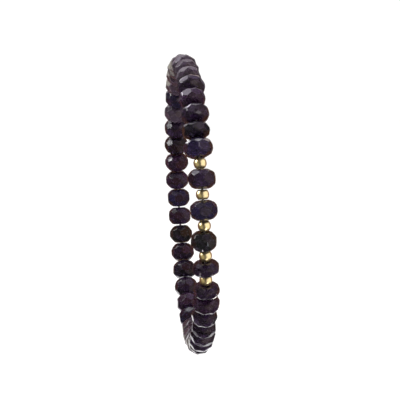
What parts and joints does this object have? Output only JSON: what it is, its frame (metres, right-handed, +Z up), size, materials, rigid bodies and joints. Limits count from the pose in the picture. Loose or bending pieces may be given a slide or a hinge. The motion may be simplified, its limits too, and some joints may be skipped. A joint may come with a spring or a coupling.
{
  "type": "sapphire bead bracelet",
  "caption": "Stretch bracelet of dark faceted sapphire rondelles with small round gold spacer beads at the front, held in the oval it takes on a wrist.",
  "frame": {"origin": "middle of the loop, which is the middle of the wrist it is worn on", "axes": "+X along the wrist, +Z up along the oval's long axis, -Y towards the side with the gold beads"},
  "size_m": [0.0068, 0.0581, 0.0725],
  "materials": {
    "sapphire": "polished facets",
    "gold": "polished, gold-filled",
    "stretch_thread": "clear stretch cord"
  },
  "bodies": {
    "root": {"sapphire_01": "sapphire", "sapphire_02": "sapphire", "sapphire_03": "sapphire", "sapphire_04": "sapphire", "sapphire_05": "sapphire", "sapphire_06": "sapphire", "sapphire_07": "sapphire", "sapphire_08": "sapphire", "sapphire_09": "sapphire", "sapphire_10": "sapphire", "sapphire_11": "sapphire", "sapphire_12": "sapphire", "sapphire_13": "sapphire", "sapphire_14": "sapphire", "sapphire_15": "sapphire", "sapphire_16": "sapphire", "sapphire_17": "sapphire", "sapphire_18": "sapphire", "sapphire_19": "sapphire", "sapphire_20": "sapphire", "sapphire_21": "sapphire", "sapphire_22": "sapphire", "sapphire_23": "sapphire", "sapphire_24": "sapphire", "sapphire_25": "sapphire", "sapphire_26": "sapphire", "sapphire_27": "sapphire", "sapphire_28": "sapphire", "sapphire_29": "sapphire", "sapphire_30": "sapphire", "sapphire_31": "sapphire", "sapphire_32": "sapphire", "sapphire_33": "sapphire", "sapphire_34": "sapphire", "sapphire_35": "sapphire", "sapphire_36": "sapphire", "sapphire_37": "sapphire", "sapphire_38": "sapphire", "sapphire_39": "sapphire", "sapphire_40": "sapphire", "gold_bead_1": "gold", "gold_bead_2": "gold", "gold_bead_3": "gold", "gold_bead_4": "gold", "gold_bead_5": "gold", "elastic_thread": "stretch_thread"}
  },
  "joints": []
}
